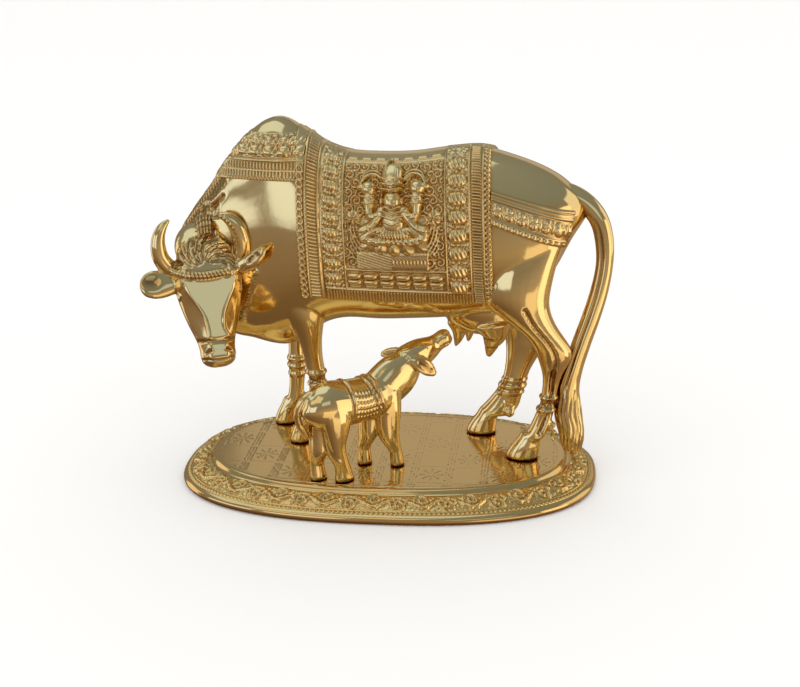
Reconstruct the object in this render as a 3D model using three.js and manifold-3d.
// Cow and calf statue: a gold-plated casting of a standing cow with her calf, on an oval two-tier base.
// Millimetres, +Z up. The origin is the centre of the base's underside, +X is the cow's rear, -Y is the
// side the cow turns her face to. Three castings, each one solid: base, cow and calf.
import * as THREE from 'three';
import { mergeVertices } from 'three/addons/utils/BufferGeometryUtils.js';
import Module from 'manifold-3d';

const wasm = await Module();
wasm.setup();

// Driving dimensions, mm.
const BASE_HALF_LENGTH = 66;
const BASE_HALF_DEPTH = 39.7;
const BASE_ROUNDNESS = 2.5;
const PLATE_TOP = 7.6;
const HOOF_GAP = 0.3;
const STAND = PLATE_TOP + HOOF_GAP;

const COW_PLACE = { x: 1, y: 9.2, yaw: -4.8 };
const CALF_PLACE = { x: -14.5, y: -24.9, yaw: 42.2 };

const CLOTH_FRONT = -22;
const CLOTH_REAR = 34.7;
const CLOTH_HEM = 59.5;
const CLOTH_THICKNESS = 0.9;

// Turns a closed mesh into a manifold solid, with its faces pointing outwards.
function toSolid(geometry) {
  const bare = geometry.clone();
  bare.deleteAttribute('normal');
  bare.deleteAttribute('uv');
  const welded = mergeVertices(bare, 1e-5);
  const vertProperties = new Float32Array(welded.attributes.position.array);
  const triVerts = new Uint32Array(welded.index.array);
  if (signedVolume(vertProperties, triVerts) < 0) {
    for (let i = 0; i < triVerts.length; i += 3) {
      const second = triVerts[i + 1];
      triVerts[i + 1] = triVerts[i + 2];
      triVerts[i + 2] = second;
    }
  }
  return new wasm.Manifold(new wasm.Mesh({ numProp: 3, vertProperties, triVerts }));
}

function signedVolume(vertices, triangles) {
  const a = new THREE.Vector3();
  const b = new THREE.Vector3();
  const c = new THREE.Vector3();
  let volume = 0;
  for (let i = 0; i < triangles.length; i += 3) {
    a.fromArray(vertices, triangles[i] * 3);
    b.fromArray(vertices, triangles[i + 1] * 3);
    c.fromArray(vertices, triangles[i + 2] * 3);
    volume += a.dot(b.cross(c)) / 6;
  }
  return volume;
}

function joined(solids) {
  return solids.reduce((whole, solid) => whole.add(solid));
}

function toGeometry(solid) {
  const mesh = solid.getMesh();
  const geometry = new THREE.BufferGeometry();
  geometry.setAttribute('position', new THREE.BufferAttribute(new Float32Array(mesh.vertProperties), 3));
  geometry.setIndex(new THREE.BufferAttribute(new Uint32Array(mesh.triVerts), 1));
  geometry.computeVertexNormals();
  return geometry;
}

// Skins a row of rings, each with the same number of points, and closes both ends with a fan.
function skin(rings) {
  const sides = rings[0].length;
  const positions = [];
  const index = [];
  for (const ring of rings) {
    for (const point of ring) {
      positions.push(point.x, point.y, point.z);
    }
  }
  for (let r = 0; r + 1 < rings.length; r += 1) {
    for (let s = 0; s < sides; s += 1) {
      const a = r * sides + s;
      const b = r * sides + (s + 1) % sides;
      index.push(a, b, b + sides, a, b + sides, a + sides);
    }
  }
  for (const r of [0, rings.length - 1]) {
    const centre = rings[r].reduce((sum, point) => sum.add(point), new THREE.Vector3());
    centre.divideScalar(sides);
    const hub = positions.length / 3;
    positions.push(centre.x, centre.y, centre.z);
    for (let s = 0; s < sides; s += 1) {
      const a = r * sides + s;
      const b = r * sides + (s + 1) % sides;
      if (r === 0) {
        index.push(hub, b, a);
      } else {
        index.push(hub, a, b);
      }
    }
  }
  const geometry = new THREE.BufferGeometry();
  geometry.setAttribute('position', new THREE.Float32BufferAttribute(positions, 3));
  geometry.setIndex(index);
  return toSolid(geometry);
}

// A smooth reading of a table of stations: every column is run through the same spline.
function readTable(table, t) {
  const last = table.length - 1;
  const place = THREE.MathUtils.clamp(t, 0, 1) * last;
  const i = Math.min(Math.floor(place), last - 1);
  const f = place - i;
  const before = table[Math.max(i - 1, 0)];
  const here = table[i];
  const next = table[i + 1];
  const after = table[Math.min(i + 2, last)];
  return here.map((value, k) => {
    const slopeHere = (next[k] - before[k]) / 2;
    const slopeNext = (after[k] - value) / 2;
    const f2 = f * f;
    const f3 = f2 * f;
    const keepsHere = (2 * f3 - 3 * f2 + 1) * value + (f3 - 2 * f2 + f) * slopeHere;
    return keepsHere + (3 * f2 - 2 * f3) * next[k] + (f3 - f2) * slopeNext;
  });
}

// One coordinate of a rounded-box outline: power 2 is an ellipse, higher is squarer.
function squared(value, power) {
  return Math.sign(value) * Math.abs(value) ** (2 / power);
}

// A limb: stations are [x, y, z, half width across, half depth], skinned along the line they follow.
// `across` is the direction of the width.
function limb(stations, { sides = 10, rings = 12, across = [0, 1, 0], power = 2 } = {}) {
  const rows = [];
  const side = new THREE.Vector3(...across);
  for (let r = 0; r <= rings; r += 1) {
    const t = r / rings;
    const [x, y, z, wide, deep] = readTable(stations, t);
    const ahead = new THREE.Vector3(...readTable(stations, t + 0.01).slice(0, 3));
    const behind = new THREE.Vector3(...readTable(stations, t - 0.01).slice(0, 3));
    const along = ahead.sub(behind).normalize();
    const u = side.clone().addScaledVector(along, -side.dot(along)).normalize();
    const v = new THREE.Vector3().crossVectors(along, u);
    const ring = [];
    for (let s = 0; s < sides; s += 1) {
      const angle = (s + 0.5) / sides * 2 * Math.PI;
      const point = new THREE.Vector3(x, y, z);
      point.addScaledVector(u, Math.max(wide, 0.05) * squared(Math.cos(angle), power));
      point.addScaledVector(v, Math.max(deep, 0.05) * squared(Math.sin(angle), power));
      ring.push(point);
    }
    rows.push(ring);
  }
  return skin(rows);
}

// A leg: stations are [z, front x, rear x, middle y, half width], each ring level.
function leg(stations, { sides = 8, rings = 10 } = {}) {
  const rows = [];
  for (let r = 0; r <= rings; r += 1) {
    const [z, front, rear, y, half] = readTable(stations, r / rings);
    const ring = [];
    for (let s = 0; s < sides; s += 1) {
      const angle = (s + 0.5) / sides * 2 * Math.PI;
      const x = (front + rear) / 2 + (rear - front) / 2 * Math.cos(angle);
      ring.push(new THREE.Vector3(x, y + half * Math.sin(angle), z));
    }
    rows.push(ring);
  }
  return skin(rows);
}

// An ellipsoid, or with few segments a faceted boss.
function boss(centre, radii, { around = 8, upright = 6 } = {}) {
  const geometry = new THREE.SphereGeometry(1, around, upright);
  geometry.rotateX(Math.PI / 2);
  geometry.scale(...radii);
  geometry.translate(...centre);
  return toSolid(geometry);
}

function block(centre, size) {
  const geometry = new THREE.BoxGeometry(...size);
  geometry.translate(...centre);
  return toSolid(geometry);
}

// A level outline of the base: an oval squared a little at its ends.
function ovalRing(halfLength, halfDepth, z, power) {
  const points = [];
  const count = 40;
  for (let i = 0; i < count; i += 1) {
    const angle = i / count * 2 * Math.PI;
    const x = halfLength * squared(Math.cos(angle), power);
    const y = halfDepth * squared(Math.sin(angle), power);
    points.push(new THREE.Vector3(x, y, z));
  }
  return points;
}

// The profile is [inset from the outer edge, height]: rim, bead ledge, sloping band, cove, plate edge.
function makeBase() {
  const profile = [
    [0.9, 0], [0.15, 0.7], [0, 1.5], [0.5, 2.4], [1.7, 3.0], [2.6, 3.1],
    [4.4, 4.5], [7.6, 5.9], [8.9, 6.1], [9.5, 6.6], [9.9, 7.3], [10.5, PLATE_TOP],
  ];
  const rings = profile.map(([inset, z]) => {
    const share = inset / 10.5;
    const power = THREE.MathUtils.lerp(BASE_ROUNDNESS, 2.35, share);
    return ovalRing(BASE_HALF_LENGTH - inset, BASE_HALF_DEPTH - inset * 0.9, z, power);
  });
  return skin(rings);
}

// Stations of the barrel, rump to neck: [x, top z, bottom z, half width, middle y].
const BARREL = [
  [60.5, 86.8, 83.5, 1.2, 0],
  [59, 89.4, 81, 5, 0],
  [56, 92.6, 76, 9, 0],
  [52, 95.8, 68, 12.5, 0],
  [46, 98.9, 59, 15.5, 0],
  [38, 101.7, 54.2, 17.2, 0],
  [29, 103.9, 52.3, 18, 0],
  [19, 103.2, 50.8, 18.4, 0],
  [8, 101.6, 49.9, 18.4, 0],
  [-3, 101.2, 49.2, 18.2, 0],
  [-13, 101.8, 49.3, 17.8, 0],
  [-21, 104.7, 47, 17.2, 0],
  [-27, 109.4, 42, 16.2, -0.1],
  [-33, 113.1, 39, 15, -0.4],
  [-39, 111.5, 39.2, 13.6, -1],
  [-45, 106, 41, 12.2, -2],
  [-50.5, 99.4, 42.4, 11, -3.4],
  [-55.5, 92.3, 46.2, 9.8, -5],
  [-60.3, 85.8, 51, 8.4, -6.6],
  [-64.6, 79.2, 57, 6, -8],
  [-67, 73, 64.5, 1.8, -9],
];

const BARREL_FULLNESS = 2.25;
const WIDEST = 0.46;

// The barrel's section at x, found by walking the table, grown by `grow`.
function barrelSection(x, grow) {
  let low = 0;
  let high = 1;
  for (let step = 0; step < 30; step += 1) {
    const middle = (low + high) / 2;
    if (readTable(BARREL, middle)[0] > x) {
      low = middle;
    } else {
      high = middle;
    }
  }
  return barrelRow(low, grow);
}

function barrelRow(t, grow) {
  const [x, top, bottom, half, y] = readTable(BARREL, t);
  const widest = bottom + (top - bottom) * WIDEST;
  return { x, y, widest, up: top - widest + grow, down: widest - bottom + grow, half: half + grow };
}

function barrelPoint(section, angle) {
  const sine = Math.sin(angle);
  const y = section.y + section.half * squared(Math.cos(angle), BARREL_FULLNESS);
  const rise = sine > 0 ? section.up : section.down;
  return new THREE.Vector3(section.x, y, section.widest + rise * squared(sine, BARREL_FULLNESS));
}

function barrel(from, to, grow, rings, sides) {
  const rows = [];
  for (let r = 0; r <= rings; r += 1) {
    const t = from + (to - from) * r / rings;
    const section = barrelRow(t, grow);
    const ring = [];
    for (let s = 0; s < sides; s += 1) {
      ring.push(barrelPoint(section, (s + 0.5) / sides * 2 * Math.PI));
    }
    rows.push(ring);
  }
  return skin(rows);
}

// The point on the barrel's flank at x and height z, on the near side (-1) or the far side (+1).
function flank(x, z, side, grow) {
  const section = barrelSection(x, grow);
  const rise = z > section.widest ? section.up : section.down;
  const share = Math.min(Math.abs(z - section.widest) / rise, 0.999);
  const y = section.half * (1 - share ** BARREL_FULLNESS) ** (1 / BARREL_FULLNESS);
  return new THREE.Vector3(x, section.y + side * y, z);
}

// The unit normal of the flank there, from two short steps along it.
function flankNormal(x, z, side, grow) {
  const step = 0.4;
  const alongX = flank(x + step, z, side, grow).sub(flank(x - step, z, side, grow));
  const alongZ = flank(x, z + step, side, grow).sub(flank(x, z - step, side, grow));
  return alongX.cross(alongZ).multiplyScalar(-side).normalize().multiplyScalar(-1);
}

// Legs of the cow: [z, front x, rear x, middle y, half width], top to fetlock.
const NEAR_HIND = [
  [82, 33, 57, -6.4, 6],
  [73, 29.5, 53.6, -8.8, 7.6],
  [65, 28.8, 51.9, -10.2, 7.8],
  [59, 30, 51, -10.8, 7.1],
  [53.5, 37, 52.3, -10.8, 5.9],
  [48.5, 43, 55.2, -10.4, 4.8],
  [44, 46.2, 58.2, -10, 4.1],
  [40, 47.6, 57.2, -9.8, 3.6],
  [36, 48.8, 55, -9.6, 3],
  [31, 48.8, 53.7, -9.5, 2.8],
  [25, 47.6, 53, -9.4, 2.8],
  [20.5, 45.9, 51.8, -9.4, 2.9],
  [17, 44.1, 51, -9.4, 3.3],
  [14, 41.6, 49, -9.4, 3.3],
];

const FAR_HIND = [
  [82, 33, 57, 6.4, 6],
  [72, 28.5, 52, 8.8, 7.6],
  [63, 26, 48, 10, 7.5],
  [54, 27.5, 47, 10.4, 6.3],
  [48, 31.5, 48.5, 10, 5.1],
  [43, 34, 50.4, 9.6, 4.2],
  [39, 34.8, 48.6, 9.3, 3.6],
  [35, 35, 45.8, 9.2, 3.1],
  [30, 34.6, 43, 9.1, 2.9],
  [25, 33.2, 41.6, 9, 2.9],
  [20.5, 30.2, 40.4, 9, 3],
  [17, 27.2, 39.4, 9, 3.2],
  [14, 24.8, 36.4, 9, 3.3],
];

const NEAR_FRONT = [
  [72, -42, -20, -6.4, 6],
  [62, -39, -18.5, -7.6, 6.2],
  [54, -34.5, -19, -8.6, 5.6],
  [47.5, -30.4, -20.6, -9, 4.3],
  [42, -28.2, -22, -8.8, 3.5],
  [36, -26.6, -21.8, -8.5, 3],
  [31, -26.2, -20.2, -8.2, 3.3],
  [27, -25.9, -20.8, -8, 2.9],
  [21, -27.4, -22.6, -7.8, 2.6],
  [17, -29.4, -24.2, -7.6, 2.9],
  [14, -31, -25.4, -7.5, 3],
];

const FAR_FRONT = [
  [72, -46, -26, 6, 6],
  [62, -45, -27, 7, 6],
  [54, -43.6, -28, 8.2, 5.4],
  [47.5, -41, -29.8, 8.8, 4.3],
  [41, -37.9, -31, 8.4, 3.4],
  [35, -37.2, -31.6, 8.1, 3],
  [30, -37.6, -31.4, 7.9, 3.2],
  [26, -37.4, -31.8, 7.8, 2.8],
  [21, -37.5, -32.4, 7.6, 2.6],
  [17, -38.3, -32.8, 7.5, 2.9],
  [14, -39.8, -34.2, 7.5, 3],
];

// A cloven hoof: one block that widens to the sole, with the cleft cut in its toe, and two dewclaws.
function hoof(toe, heel, y, half) {
  const length = heel - toe;
  const shape = leg([
    [16.2, toe + length * 0.42, heel + 0.4, y, half * 0.72],
    [13.4, toe + length * 0.28, heel + 0.5, y, half * 0.9],
    [10.6, toe + length * 0.08, heel + 0.3, y, half],
    [STAND, toe, heel, y, half * 1.02],
  ], { sides: 10, rings: 4 });
  const cleft = block([toe + length * 0.1, y, 9.5], [length * 0.62, 0.7, 9]);
  const claws = [-1, 1].map((side) => {
    const centre = [heel + 1.2, y + side * half * 0.5, 16.2];
    return boss(centre, [1.3, 1.1, 1.8], { around: 5, upright: 3 });
  });
  return joined([shape.subtract(cleft), ...claws]);
}

// The anklet of a leg: a low band with a rounded edge, following the leg's own section.
function anklet(stations, low, high, proud) {
  const rows = [];
  const steps = [[low, 0], [low + 0.7, proud], [high - 0.7, proud], [high, 0]];
  for (const [z, out] of steps) {
    const [, front, rear, y, half] = stationAt(stations, z);
    const ring = [];
    for (let s = 0; s < 10; s += 1) {
      const angle = (s + 0.5) / 10 * 2 * Math.PI;
      const x = (front + rear) / 2 + ((rear - front) / 2 + out) * Math.cos(angle);
      ring.push(new THREE.Vector3(x, y + (half + out) * Math.sin(angle), z));
    }
    rows.push(ring);
  }
  return skin(rows);
}

function stationAt(stations, z) {
  let low = 0;
  let high = 1;
  for (let step = 0; step < 24; step += 1) {
    const middle = (low + high) / 2;
    if (readTable(stations, middle)[0] > z) {
      low = middle;
    } else {
      high = middle;
    }
  }
  return readTable(stations, low);
}

function makeLegs() {
  return joined([
    leg(NEAR_HIND),
    leg(FAR_HIND),
    leg(NEAR_FRONT),
    leg(FAR_FRONT),
    hoof(37.4, 48, -9.4, 3.7),
    hoof(22, 32, 9, 3.6),
    hoof(-33.4, -26.6, -7.5, 3.2),
    hoof(-43.2, -35.8, 7.5, 3.2),
    anklet(NEAR_HIND, 24.4, 29.2, 0.7),
    anklet(FAR_HIND, 22.2, 27.2, 0.7),
  ]);
}

// The head hangs from the poll, turned back past her near side towards the calf. In its own frame X runs
// across, -Y is the face and Z is up. Stations: [z, half width, face depth, jaw depth, half face width].
const HEAD_PLACE = { x: -55.2, y: -16.4, z: 70.8, nod: -24, roll: -2, turn: 26 };
const HEAD = [
  [3.4, 4.5, 2, 3.5, 2.6],
  [1.6, 8.2, 4.4, 6, 5.4],
  [-1.5, 10, 6.2, 7.6, 8],
  [-5, 10.6, 6.9, 8.4, 8.6],
  [-10, 10.3, 6.7, 9, 7.4],
  [-15, 9.3, 6.2, 9, 4.8],
  [-20, 7.9, 5.7, 8, 3.1],
  [-24.5, 6.3, 5.1, 6.4, 2.8],
  [-28, 5.5, 4.8, 5.2, 3.1],
  [-31, 5.5, 4.7, 4.8, 3.3],
  [-33, 4.3, 3.8, 4, 2.6],
  [-34, 2, 1.8, 2.2, 1.2],
];

// Half of the head's section, front to back, as shares of half width, face depth and jaw depth.
function headRing([z, half, face, jaw, faceHalf]) {
  const side = [
    [0, face * 1.03],
    [faceHalf * 0.85, face],
    [faceHalf, face * 0.92],
    [(faceHalf + half * 1.6) / 2.6, face * 0.6],
    [half, face * 0.1],
    [half * 0.94, -jaw * 0.4],
    [half * 0.66, -jaw * 0.86],
    [0, -jaw],
  ];
  const right = side.map(([x, out]) => new THREE.Vector3(x, -out, z));
  const left = side.slice(1, -1).reverse().map(([x, out]) => new THREE.Vector3(-x, -out, z));
  return [...right, ...left];
}

function makeHead() {
  const rows = [];
  for (let r = 0; r <= 13; r += 1) {
    rows.push(headRing(readTable(HEAD, r / 13)));
  }
  const forelock = boss([0, 4.6, 2.6], [9.2, 7.4, 6.6], { around: 9, upright: 6 });
  const head = joined([skin(rows), forelock, horn(FAR_HORN), horn(NEAR_HORN), farEar(), nearEar()]);
  const { x, y, z, nod, roll, turn } = HEAD_PLACE;
  return head.rotate([nod, roll, turn]).translate([x, y, z]);
}

// The horns, crescents that leave the head sideways and turn their tips inwards: [x, y, z, radius].
const FAR_HORN = [
  [-7.5, 1, -2.6, 2.3],
  [-11, 0.4, -1.8, 2.7],
  [-13.2, -1.2, 1, 2.6],
  [-13.8, -3, 4.6, 2.4],
  [-13.2, -4.4, 7.8, 2],
  [-11.6, -5.4, 10.4, 1.4],
  [-9.6, -6, 12, 0.6],
];
const NEAR_HORN = [
  [6.5, 0, -3, 2.4],
  [10.2, -1.4, -2, 2.9],
  [11.6, -3.4, 1.2, 3],
  [11.5, -5.2, 4.6, 3],
  [10.4, -6.6, 7.8, 2.8],
  [8, -7.8, 10.4, 2.1],
  [4.4, -8.4, 11.8, 0.7],
];

function horn(stations) {
  const rows = stations.map(([x, y, z, radius]) => [x, y, z, radius, radius]);
  return limb(rows, { sides: 6, rings: 7 });
}

// The ear on the far side lies level, its hollow to the front.
function farEar() {
  const shell = limb([
    [-8, 1, -6.6, 2.8, 2],
    [-12, 0.6, -6.6, 4, 1.9],
    [-16, 0, -6.4, 4.5, 1.8],
    [-19.2, -0.6, -6, 3.7, 1.4],
    [-20.8, -0.8, -5.8, 1.6, 0.7],
  ], { sides: 8, rings: 6, across: [0, 0, 1] });
  const hollow = boss([-16.8, -2, -6.2], [3, 1.6, 2.6], { around: 8, upright: 5 });
  return shell.subtract(hollow);
}

// The near ear stands up and out behind its horn, its hollow to the front.
function nearEar() {
  const shell = limb([
    [7.4, -1.6, -4.6, 2.4, 1.8],
    [10.4, -5, -4.7, 2.4, 1.5],
    [13, -7.4, -4, 2.6, 1.4],
    [15.4, -9.2, -2.5, 2.2, 1.2],
    [17.5, -10.6, -0.8, 0.8, 0.6],
  ], { sides: 7, rings: 5, across: [0.478, 0.183, -0.859] });
  const hollow = boss([13.6, -9.4, -2.8], [2, 0.9, 1.6], { around: 7, upright: 4 });
  return shell.subtract(hollow);
}

function makeUdder() {
  const bag = boss([27.5, -1, 51.5], [11.5, 8.5, 6.6], { around: 10, upright: 6 });
  const teats = [
    [20.6, -2.2, 40.6, 1.4],
    [23.4, 2.6, 41, 1.6],
    [31.6, -4.6, 38.6, 3.8],
    [33.6, 2.8, 41.4, 2.6],
  ].map(([x, y, tip, radius]) => limb([
    [x - 1, y * 0.9, 49.5, radius * 1.5, radius * 1.5],
    [x - 0.4, y, 46, radius, radius],
    [x, y, 43, radius * 0.72, radius * 0.72],
    [x, y, tip, radius * 0.3, radius * 0.3],
  ], { sides: 6, rings: 4, across: [0, 1, 0] }));
  return joined([bag, ...teats]);
}

// The tail leaves the rump level, falls in a long bow to the hock and ends in a tuft behind the hoof.
function makeTail() {
  const cord = limb([
    [50, 0, 91, 3.6, 3.4],
    [55.5, 0, 90, 3.5, 3.2],
    [60.6, -0.4, 87.2, 3.1, 3],
    [64.4, -1, 82.4, 2.9, 2.9],
    [66.2, -1.6, 76, 2.8, 2.8],
    [66.4, -2.4, 69, 2.6, 2.6],
    [65, -3.2, 61, 2.7, 2.7],
    [62.8, -4, 53, 2.9, 2.8],
    [60.2, -5, 45, 3, 2.9],
    [57.9, -5.8, 37, 3.2, 3],
    [56.4, -6, 30, 3.6, 3.6],
    [56.6, -6, 23, 4.3, 4.4],
    [57.8, -6, 16, 4.6, 4.1],
    [58, -5.6, 11, 3.6, 3.2],
    [57.6, -5.2, STAND + 0.5, 1.2, 1.6],
  ], { sides: 7, rings: 20 });
  return cord;
}

// The saddle cloth: the barrel grown a little, kept between its front, its rear and its hem.
function makeCloth() {
  const grown = barrel(0.12, 0.8, CLOTH_THICKNESS, 13, 20);
  const length = CLOTH_REAR - CLOTH_FRONT;
  const middle = (CLOTH_REAR + CLOTH_FRONT) / 2;
  return grown.intersect(block([middle, 0, CLOTH_HEM + 30], [length, 60, 60]));
}

// Places a small raised shape on the flank, upright, its back sunk into the cloth.
function onFlank(x, z, side, makeShape) {
  const place = flank(x, z, side, CLOTH_THICKNESS);
  const normal = flankNormal(x, z, side, CLOTH_THICKNESS);
  const right = new THREE.Vector3(1, 0, 0);
  right.addScaledVector(normal, -right.dot(normal)).normalize();
  const up = new THREE.Vector3().crossVectors(right, normal).multiplyScalar(-1);
  if (up.z < 0) {
    up.multiplyScalar(-1);
  }
  const frame = new THREE.Matrix4().makeBasis(right, normal, up);
  frame.setPosition(place);
  const geometry = makeShape();
  geometry.applyMatrix4(frame);
  return toSolid(geometry);
}

function dome(wide, proud, tall, around) {
  return () => {
    const geometry = new THREE.CylinderGeometry(1, 0.45, 2, around);
    geometry.scale(wide, proud, tall);
    return geometry;
  };
}

function bar(wide, proud, tall) {
  return () => new THREE.BoxGeometry(wide, proud * 2, tall);
}

// The borders: a ladder strip at the front and rear, a column of rosettes, and bars along the hem.
function makeBorders(side) {
  const pieces = [];
  const bottom = 66;
  const top = 98;
  for (let z = bottom; z <= top; z += 4.5) {
    pieces.push(onFlank(25, z, side, dome(2.3, 0.9, 1.9, 5)));
    pieces.push(onFlank(-13, z, side, dome(2, 0.8, 1.9, 5)));
  }
  for (let x = -14; x <= 26; x += 5) {
    pieces.push(onFlank(x, 62, side, bar(3.8, 0.7, 2.6)));
  }
  return pieces;
}

// The seated figure in the middle of the cloth, with a tall crown, on a lotus and a step.
function makeSeatedFigure(side) {
  const x = 6.6;
  return [
    onFlank(x, 71.6, side, bar(22, 1.1, 4)),
    onFlank(x, 76.4, side, dome(10.5, 2, 3.2, 10)),
    onFlank(x, 80.6, side, dome(8, 2.4, 2.2, 10)),
    onFlank(x, 85, side, dome(3.6, 2.6, 4.4, 8)),
    onFlank(x, 91.4, side, dome(2.3, 2.5, 2.4, 8)),
    onFlank(x, 95.4, side, dome(1.6, 1.8, 3.6, 8)),
    onFlank(x - 8, 88.6, side, dome(2, 1.4, 4, 8)),
    onFlank(x + 7, 88, side, dome(2, 1.4, 4, 8)),
  ];
}

// The collar round the neck behind the hump: two raised bands.
function makeCollar() {
  const grown = barrel(0.55, 0.9, 0.7, 8, 20);
  const band = (low, high) => {
    const geometry = new THREE.BoxGeometry(31, 60, high - low);
    geometry.rotateY(THREE.MathUtils.degToRad(-3));
    geometry.translate(-38.5, 0, (low + high) / 2);
    return grown.intersect(toSolid(geometry));
  };
  return joined([band(101.7, 107.9), band(94.9, 100.8)]);
}

// The band over the hips, sloping down to the tail.
function makeHipBand() {
  const grown = barrel(0, 0.4, 0.7, 9, 20);
  const geometry = new THREE.BoxGeometry(24, 60, 8.6);
  geometry.rotateY(THREE.MathUtils.degToRad(19));
  geometry.translate(44, 0, 85.6);
  return grown.intersect(toSolid(geometry));
}

function makeCow() {
  const parts = [
    barrel(0, 1, 0, 24, 20),
    makeLegs(),
    makeHead(),
    makeUdder(),
    makeTail(),
    makeCloth(),
    makeCollar(),
    makeHipBand(),
    ...makeBorders(-1),
    ...makeSeatedFigure(-1),
  ];
  return placed(joined(parts), COW_PLACE);
}

function placed(solid, { x, y, yaw }) {
  return solid.rotate([0, 0, yaw]).translate([x, y, 0]);
}

// Legs of the calf, as the cow's: [z, front x, rear x, middle y, half width].
const CALF_LEGS = [
  [
    [34, -5, 6.4, -2.6, 3.6],
    [29, -4.2, 6.4, -3.4, 3.7],
    [24, -3.1, 4.8, -3.6, 3],
    [19.4, -2, 3.5, -3.5, 2.3],
    [15, -0.8, 4.4, -3.3, 2],
    [11, 0, 5.6, -3.1, 2],
    [STAND, -0.2, 6.8, -3, 2.3],
  ],
  [
    [34, -6, 3, 2.6, 3.4],
    [28, -5.6, 2, 3.2, 3.2],
    [22, -4.9, 0.2, 3.3, 2.5],
    [16, -5.1, -0.4, 3.1, 2],
    [11, -5.2, -0.2, 2.9, 1.9],
    [STAND, -5.3, 0.6, 2.8, 2.2],
  ],
  [
    [34, 16.4, 24.2, -2.8, 3.2],
    [28, 17.2, 24, -3.6, 2.9],
    [23.5, 18.3, 23.4, -3.8, 2.4],
    [19, 19, 22.9, -3.8, 2],
    [14, 19.7, 23.6, -3.7, 1.8],
    [STAND, 19.9, 25, -3.6, 2.1],
  ],
  [
    [34, 13.2, 21, 2.8, 3.2],
    [27, 13.2, 19.6, 3.6, 2.8],
    [20, 13.4, 17.6, 3.8, 2.1],
    [14, 13, 17.2, 3.8, 1.8],
    [STAND, 12.5, 17.7, 3.8, 2.1],
  ],
];

// Body, neck, head, the two ears and the tail: [x, y, z, half width, half depth].
const CALF_BARREL = [
  [-7.8, 0, 33.6, 2, 2.4],
  [-5.8, 0, 32.8, 4.6, 5.2],
  [-1.5, 0, 32, 6.4, 7.6],
  [5, 0, 31.3, 6.8, 7.4],
  [12, 0, 31, 6.8, 6.9],
  [18, 0, 31.2, 6.5, 7.4],
  [22.6, 0, 31.4, 5.2, 6.6],
  [25.6, 0, 31.2, 2.4, 3.6],
];
const CALF_NECK = [
  [16.6, 0, 31.8, 5.4, 6.4],
  [21.6, -0.3, 34, 5.4, 7.6],
  [26, -0.8, 37, 4.9, 7.4],
  [29.4, -1.3, 40.4, 4, 5],
];
const CALF_HEAD = [
  [25, -1, 40.6, 2.2, 2.4],
  [27.2, -1.1, 41, 3.8, 3.8],
  [30.4, -1.4, 41.2, 4.2, 4.6],
  [33.6, -1.8, 41.9, 3.9, 4.6],
  [36.8, -2.2, 43.3, 3.2, 4],
  [39.6, -3, 44.8, 2.6, 3.1],
  [41.7, -3.8, 45.7, 2.4, 2.7],
  [43, -4.2, 46.2, 1.2, 1.5],
];
const CALF_NEAR_EAR = [
  [27, -4, 42, 1.5, 1],
  [29.8, -6, 40.4, 2.5, 1],
  [32.5, -7, 38, 2.5, 0.9],
  [35, -7, 35.8, 0.9, 0.6],
];
const CALF_FAR_EAR = [
  [29.6, 1.6, 42, 1.2, 1],
  [27.6, 3.6, 41.8, 1.7, 1],
  [25.6, 5.2, 41.3, 1.7, 0.9],
  [23.8, 6.2, 41, 0.7, 0.5],
];
const CALF_TAIL = [
  [-4.6, 1, 36.4, 1.4, 1.4],
  [-7.2, 1.6, 35.2, 1.2, 1.2],
  [-8.8, 2.4, 32, 1.1, 1.1],
  [-8.7, 3, 28.2, 1.1, 1.1],
  [-7.4, 3.4, 25, 1.4, 1.3],
  [-5.6, 3.4, 21.6, 1, 1],
];

function makeCalf() {
  const parts = [
    limb(CALF_BARREL, { sides: 12, rings: 11 }),
    limb(CALF_NECK, { sides: 10, rings: 4 }),
    limb(CALF_HEAD, { sides: 10, rings: 8, power: 2.3 }),
    limb(CALF_NEAR_EAR, { sides: 7, rings: 5, across: [0.7, 0, 0.7] }),
    limb(CALF_FAR_EAR, { sides: 7, rings: 5, across: [0.2, 0, 0.95] }),
    limb(CALF_TAIL, { sides: 6, rings: 8 }),
    ...CALF_LEGS.map((stations) => leg(stations, { sides: 8, rings: 7 })),
  ];
  return placed(joined(parts), CALF_PLACE);
}

function casting(name, solid, color) {
  const material = new THREE.MeshStandardMaterial({ color, roughness: 0.22, metalness: 1 });
  const mesh = new THREE.Mesh(toGeometry(solid), material);
  mesh.name = name;
  return mesh;
}

const group = new THREE.Group();
group.name = 'cow_and_calf_statue';
group.add(casting('base', makeBase(), 0xb8923f));
group.add(casting('cow', makeCow(), 0xc9a24a));
group.add(casting('calf', makeCalf(), 0xd0aa55));

export default group;
